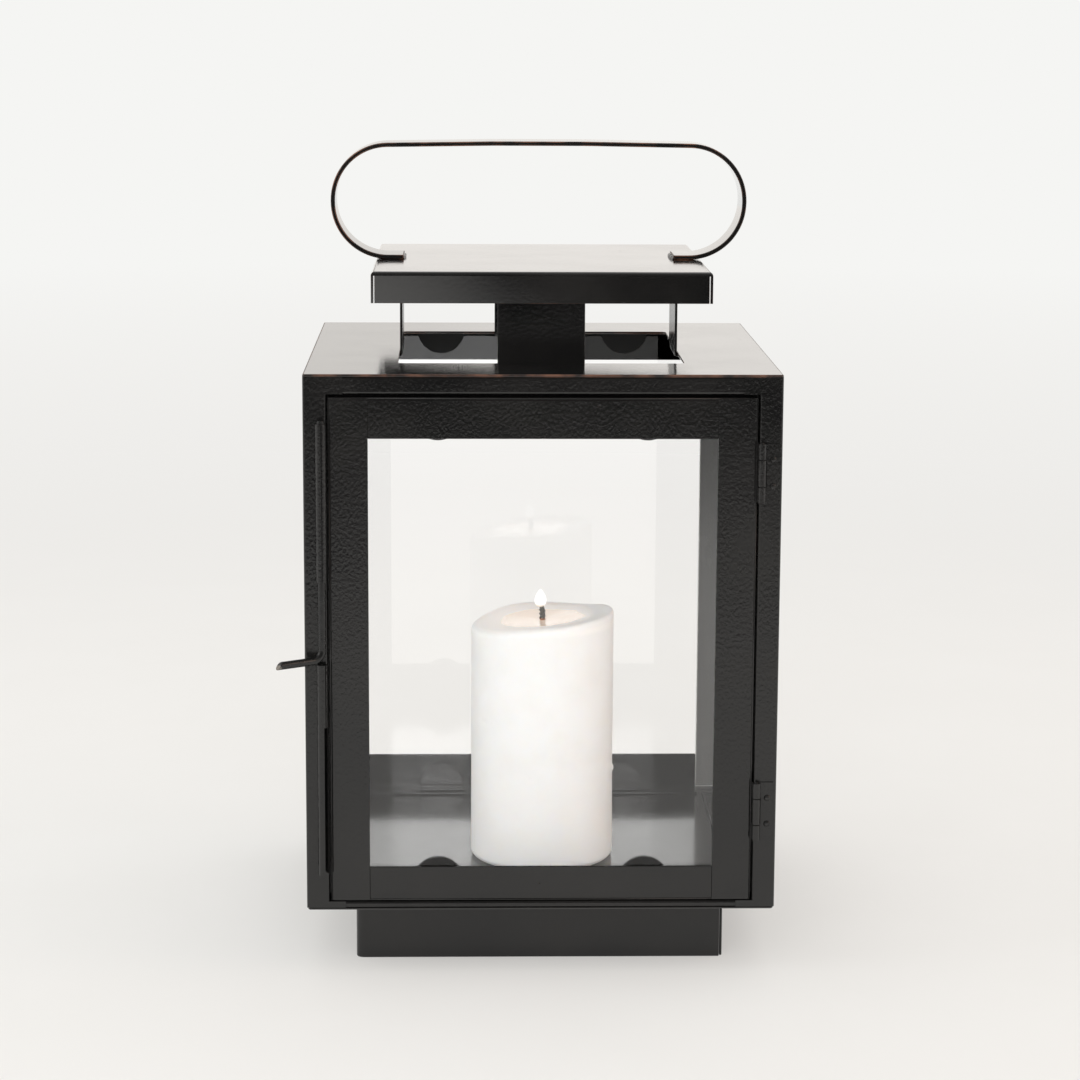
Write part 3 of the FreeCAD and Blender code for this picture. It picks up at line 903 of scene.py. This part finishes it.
@dataclass
class PillarCandle:
    """Burned pillar candle that stands on the lantern's floor."""

    around: int = 192
    wall_steps: int = 104
    pool_steps: int = 30
    round_steps: int = 6
    foot_mm: float = 2.6
    # Radius of the rim's edge where it is sharpest, at the angle below, and opposite, where it has melted.
    rim_round_mm: Span = (0.5, 3.2)
    rim_sharp_deg: float = 45.0
    lean_mm: float = 2.9
    # Dips and rises of the rim: degrees round the candle, rise in mm, half width in degrees.
    rim_waves: Tuple[Triple, ...] = ((54, -1.3, 22), (116, 1.1, 24), (262, 0.6, 40))
    dish_mm: float = 1.4
    dish_curve: float = 1.5
    wall_wave_mm: float = 0.14
    # Casting waves: their pace round the candle, and how much faster they follow its height in metres.
    wave_pace: float = 2.2
    wave_rise: float = 18.0
    # Nicks: degrees round the candle, height above its foot, half width and depth in mm.
    nicks: Tuple[Tuple[float, float, float, float], ...] = (
        (231, 83, 0.9, 0.55), (212, 70, 0.8, 0.5), (215, 59, 1.1, 0.45), (258, 38, 0.9, 0.5),
        (261, 3.5, 0.7, 0.4), (269, 3.2, 0.6, 0.4), (352, 37, 1.3, -0.8), (301, 66, 0.7, 0.3))
    strands: int = 3
    strand_mm: float = 0.62
    strand_points: int = 10
    strand_rings: int = 44
    # Ragged outline of a strand: its share of the radius, its waves along the wick, and its rows of noise.
    ragged: float = 0.25
    ragged_waves: float = 14.0
    ragged_rows: Span = (5.0, 2.0)
    # Share of the wick's length at which a strand would end in a point, and how fast it thins towards that.
    strand_end: float = 1.06
    strand_taper: float = 5.0
    twist_mm: float = 5.0
    wick_sunk_mm: float = 2.0
    wick_short_mm: float = 0.6
    wick_curl_mm: float = 6.0
    wick_straight_mm: float = 3.0
    flame_mm: Span = (4.7, 7.6)
    flame_dip_mm: float = 1.1
    flame_steps: int = 28
    flame_points: int = 28
    # Shape of the flame: the share cut off at its ends, how low its belly sits, and how full it is.
    flame_cut: float = 0.004
    flame_belly: float = 0.72
    flame_fullness: float = 0.75
    axis: Vector = field(init=False)
    radius: float = field(init=False)
    floor: float = field(init=False)
    top: float = field(init=False)
    pool: float = field(init=False)
    wick_top: float = field(init=False)

    def build(self) -> None:
        """Makes the wax, the wick and the flame."""
        low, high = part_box("candle_wax")
        self.axis = Vector(((low[0] + high[0]) / 2, (low[1] + high[1]) / 2, 0))
        self.radius = (high[0] - low[0]) / 2
        self.floor = low[2]
        self.top = high[2] - self.lean_mm * MM
        self.pool = self.top - self.dish_mm * MM
        self.wick_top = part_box("candle_wick")[1][2]
        self.wax()
        self.wick()
        self.flame()

    def at(self, angle: float, out: float, height: float) -> Vector:
        """Point at an angle round the candle's axis, at a distance from it and a height."""
        return self.axis + Vector((math.cos(angle) * out, math.sin(angle) * out, height))

    def rim(self, angle: float) -> float:
        """Height of the burned rim: a slope to the left, with dips and rises.

        Args:
            angle: angle round the axis.

        Returns:
            The height in metres.
        """
        height = self.lean_mm * math.cos(angle)
        for middle, rise, width in self.rim_waves:
            height += rise * math.exp(-(degrees_from(angle, middle) / width) ** 2)
        return self.top + height * MM

    def wall(self, angle: float, height: float) -> float:
        """Distance of the wall from the axis, with its casting waves and its nicks.

        Args:
            angle: angle round the axis.
            height: height in metres.

        Returns:
            The distance in metres.
        """
        spot = Vector((math.cos(angle), math.sin(angle), (height - self.floor) * self.wave_rise))
        out = self.wall_wave_mm * noise.noise(spot * self.wave_pace)
        for middle, level, width, depth in self.nicks:
            side = math.radians(degrees_from(angle, middle)) * self.radius / MM
            rise = (height - self.floor) / MM - level
            out -= depth * math.exp(-(side * side + rise * rise) / (width * width))
        return self.radius + (out - self.wall_wave_mm) * MM

    def profile(self, angle: float) -> List[Span]:
        """Outline of the pillar, from its worn foot up the wall, over the rim and into the pool.

        Args:
            angle: angle round the axis.

        Returns:
            Distances from the axis and heights, in metres.
        """
        quarter = [math.pi / 2 * i / self.round_steps for i in range(self.round_steps + 1)]
        foot = self.foot_mm * MM
        bottom = self.floor + foot
        sharp, soft = self.rim_round_mm
        turn = angle - math.radians(self.rim_sharp_deg)
        ease = (soft + (sharp - soft) * (1 + math.cos(turn)) / 2) * MM
        rim = self.rim(angle)
        points = []
        for step in quarter:
            height = self.floor + foot * (1 - math.cos(step))
            points.append((self.wall(angle, height) - foot * (1 - math.sin(step)), height))
        for level in range(1, self.wall_steps):
            height = bottom + level / self.wall_steps * (rim - ease - bottom)
            points.append((self.wall(angle, height), height))
        for step in quarter:
            height = rim - ease * (1 - math.sin(step))
            points.append((self.wall(angle, height) - ease * (1 - math.cos(step)), height))
        edge = self.wall(angle, rim) - ease
        for level in range(1, self.pool_steps):
            share = 1 - level / self.pool_steps
            points.append((edge * share, self.pool + (rim - self.pool) * share ** self.dish_curve))
        return points

    def wax(self) -> None:
        """Makes the pillar from its outlines all round."""
        turns = [2 * math.pi * i / self.around for i in range(self.around)]
        levels = zip(*(self.profile(t) for t in turns))
        pillar = RingMesh()
        pillar.tube([[self.at(t, *point) for t, point in zip(turns, level)] for level in levels])
        foot_of_wick = self.axis + Vector((0, 0, self.pool))
        finish = ParaffinWax(tuple(foot_of_wick), self.floor).make()
        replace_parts(pillar.build("candle_wax_pillar", Body.CANDLE, Slot.WAX, finish), "candle_wax")

    def wick_line(self, rise: float) -> Tuple[Vector, Vector]:
        """Middle of the wick at a length above the pool, and the direction across it.

        Args:
            rise: length along the wick in metres.

        Returns:
            The point, and the unit direction to its right.
        """
        straight = self.wick_straight_mm * MM
        curl = self.wick_curl_mm * MM
        angle = max(0.0, rise - straight) / curl
        across = curl * (1 - math.cos(angle))
        up = min(rise, straight) + curl * math.sin(angle)
        point = self.axis + Vector((-across, 0, self.pool + up))
        return point, Vector((math.cos(angle), 0, math.sin(angle)))

    def strand_ring(self, strand: int, share: float) -> Ring:
        """Ring of points round one strand of the wick.

        Args:
            strand: number of the strand.
            share: place along the wick, from 0 in the wax to 1 at its burned end.

        Returns:
            The points in order.
        """
        sunk = self.wick_sunk_mm * MM
        length = self.wick_top - self.pool - self.wick_short_mm * MM
        rise = -sunk + share * (length + sunk)
        point, right = self.wick_line(rise)
        turn = 2 * math.pi * (rise / (self.twist_mm * MM) + strand / self.strands)
        away = right * math.cos(turn) + BACK * math.sin(turn)
        row, layer = self.ragged_rows
        ragged = 1 + self.ragged * noise.noise(Vector((share * self.ragged_waves, strand * row, layer)))
        thin = min(1.0, (self.strand_end - share) * self.strand_taper) ** 0.5
        centre = point + away * self.strand_mm * MM
        return circle(centre, right, BACK, self.strand_mm * MM * ragged * thin, self.strand_points)

    def wick(self) -> None:
        """Makes the braid, thinner and ragged at its burned end."""
        braid = RingMesh()
        shares = [i / (self.strand_rings - 1) for i in range(self.strand_rings)]
        for strand in range(self.strands):
            braid.tube([self.strand_ring(strand, share) for share in shares])
        finish = CharredCotton(self.pool).make()
        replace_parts(braid.build("candle_wick_braid", Body.CANDLE, Slot.WICK, finish), "candle_wick")

    def flame(self) -> None:
        """Makes the flame that stands on the end of the wick."""
        wide, tall = (size * MM for size in self.flame_mm)
        point, _ = self.wick_line(self.wick_top - self.pool)
        foot = self.wick_top - self.flame_dip_mm * MM
        rings = []
        for i in range(self.flame_steps + 1):
            share = self.flame_cut + (1 - 2 * self.flame_cut) * i / self.flame_steps
            size = wide / 2 * math.sin(math.pi * share ** self.flame_belly) ** self.flame_fullness
            centre = Vector((point.x, point.y, foot + share * tall))
            rings.append(circle(centre, RIGHT, BACK, size, self.flame_points))
        light = RingMesh()
        light.tube(rings)
        light.build("candle_flame", Body.CANDLE, Slot.WICK, CandleFlame(foot, tall).make())


@dataclass
class PhotoCamera:
    """Camera at the photograph's place, in millimetres and degrees."""

    place_mm: Triple = (-30.0, -1195.6, 371.6)
    down_deg: float = 10.34
    right_deg: float = 1.5
    roll_deg: float = 0.27
    lens_mm: float = 99.49
    nearest_mm: float = 50.0

    def build(self) -> None:
        """Makes the scene's camera."""
        lens = bpy.data.cameras.new("photo_camera")
        lens.lens = self.lens_mm
        lens.clip_start = self.nearest_mm * MM
        camera = bpy.data.objects.new("photo_camera", lens)
        turn = Matrix.Rotation(math.radians(-self.right_deg), 4, "Z")
        tilt = Matrix.Rotation(math.radians(90 - self.down_deg), 4, "X")
        roll = Matrix.Rotation(math.radians(self.roll_deg), 4, "Z")
        camera.matrix_world = Matrix.Translation(metres(*self.place_mm)) @ turn @ tilt @ roll
        bpy.context.scene.collection.objects.link(camera)
        bpy.context.scene.camera = camera


@dataclass(frozen=True)
class Softbox:
    """Square lamp that faces the middle of the lantern."""

    name: str
    place_m: Triple
    side_m: float
    watts: float
    colour: str = "#ffffff"
    # Whether glossy surfaces show it.
    mirrored: bool = True
    aim_m: Triple = (0.0, 0.0, 0.13)

    def build(self) -> None:
        """Makes the lamp."""
        light = bpy.data.lights.new(self.name, "AREA")
        light.size = self.side_m
        light.energy = self.watts
        light.color = srgb(self.colour)[:3]
        lamp = bpy.data.objects.new(self.name, light)
        lamp.location = self.place_m
        aim = Vector(self.aim_m) - lamp.location
        lamp.rotation_mode = "QUATERNION"
        lamp.rotation_quaternion = aim.to_track_quat("-Z", "Y")
        lamp.visible_glossy = self.mirrored
        bpy.context.scene.collection.objects.link(lamp)


@dataclass
class Studio:
    """Plain pale floor, soft light and surroundings."""

    floor_half_m: float = 6.0
    sky: str = "#f5f5f3"
    warm_sky: str = "#f8f4ef"
    fill: float = 0.9
    # Strength of the surroundings in glossy surfaces: all round, in the dark room in front, and overhead.
    gloss: float = 1.0
    room: float = 0.03
    ceiling: float = 0.15
    # Where the room and the ceiling begin and are reached, as parts of a unit direction.
    room_span: Span = (-0.55, -0.88)
    ceiling_span: Span = (0.4, 0.75)
    lamps: Tuple[Softbox, ...] = (
        Softbox("front_softbox", (-0.2, -1.75, 1.05), 1.3, 8.7, mirrored=False),
        Softbox("low_fill", (-0.33, -1.5, 0.3), 0.8, 3.9, mirrored=False),
        Softbox("left_softbox", (-1.3, -0.3, 1.1), 1.0, 4.0),
        Softbox("right_softbox", (1.4, -0.35, 0.9), 0.9, 3.2, "#ffd0b0"),
        Softbox("top_softbox", (0.15, 0.35, 1.6), 1.4, 4.0))

    def build(self) -> None:
        """Makes the floor, the lamps and the world."""
        self.floor()
        for lamp in self.lamps:
            lamp.build()
        self.world()

    def floor(self) -> None:
        """Makes the floor that the lantern stands on."""
        half = self.floor_half_m
        corners = [(-half, -half, 0), (half, -half, 0), (half, half, 0), (-half, half, 0)]
        mesh = bpy.data.meshes.new("studio_floor")
        mesh.from_pydata(corners, [], [(0, 1, 2, 3)])
        mesh.materials.append(StudioFloor().make())
        floor = bpy.data.objects.new("studio_floor", mesh)
        bpy.context.scene.collection.objects.link(floor)

    def world(self) -> None:
        """Makes the pale surroundings, dimmer as a light than as a background."""
        world = bpy.data.worlds.new("pale_room")
        world.use_nodes = True
        tree = world.node_tree
        tree.nodes.clear()
        add = partial(add_node, tree)
        seen, mirrored, passed = pale_rays(add)
        way = add("SeparateXYZ", {0: add("TexCoord").outputs["Generated"]})
        begins, ends = self.room_span
        front = add("MapRange", {"Value": way.outputs["Y"], 1: begins, 2: ends, 3: self.gloss, 4: self.room})
        begins, ends = self.ceiling_span
        above = add("MapRange", {"Value": way.outputs["Z"], 1: begins, 2: ends, 3: 1.0, 4: self.ceiling})
        around = add("Math", {0: front, 1: above}, operation="MULTIPLY")
        light = add("MapRange", {"Value": seen, 3: self.fill, 4: 1.0})
        clear = add("MapRange", {"Value": passed, 3: 1.0, 4: THROUGH_GLASS})
        pale = add("Math", {0: light, 1: clear}, operation="MULTIPLY")
        strength = add("Mix", {0: mirrored, 2: pale, 3: around})
        colour = add("MixRGB", {"Fac": mirrored, 1: srgb(self.sky), 2: srgb(self.warm_sky)})
        sky = add("Background", {"Color": colour, "Strength": strength})
        add("OutputWorld", {"Surface": sky})
        bpy.context.scene.world = world


def main() -> None:
    """Builds the lantern's looks, its studio and its camera."""
    logging.basicConfig(level=logging.INFO)
    bpy.context.scene.view_settings.view_transform = "Standard"
    wall = SheetFinish(StoveEnamel().make())
    front = SheetFinish(wall.skin, ease_mm=0.15)
    worn = WornEdge().make()
    glossy = StoveEnamel(
        name="glossy_roof_enamel", peel_height_mm=0.025, ripple_height_mm=0.03, smooth=0.1, dull=0.2,
        coat=1.0, sag=(0.0, 0.05, 0.0), sag_from_mm=(0.0, -85.0, 0.0))
    roof = SheetFinish(glossy.make(), worn)
    skirted = StoveEnamel(
        name="glossy_cap_enamel", peel_height_mm=0.012, ripple_height_mm=0.05, smooth=0.1, dull=0.2,
        coat=1.0, sag=(0.0, 0.0, 0.11), sag_from_mm=(0.0, 0.0, 268.0))
    cap = SheetFinish(skirted.make(), worn)
    level = StoveEnamel(
        name="smooth_inner_enamel", peel_height_mm=0.004, ripple_height_mm=0.02, smooth=0.12, dull=0.24,
        coat=0.5, soot_mm=(100.0, 190.0))
    inside = SheetFinish(level.make())
    # The back posts' enamel has painted light on the faces that look inwards.
    dust_and_painted_light = SheetFinish(StoveEnamel(name="post_enamel_painted_light", painted_film_share=0.95).make())
    glass = ClearGlass().make()
    for assembly in (
        BodyShell(wall, front, roof, inside, dust_and_painted_light),
        Chimney(wall, roof, cap),
        Glazing(inside, glass),
        GlazedDoor(wall, glass),
        WireLatch(wall),
        PillarCandle(),
        Studio(),
        PhotoCamera(),
    ):
        assembly.build()


if __name__ == "__main__":
    main()
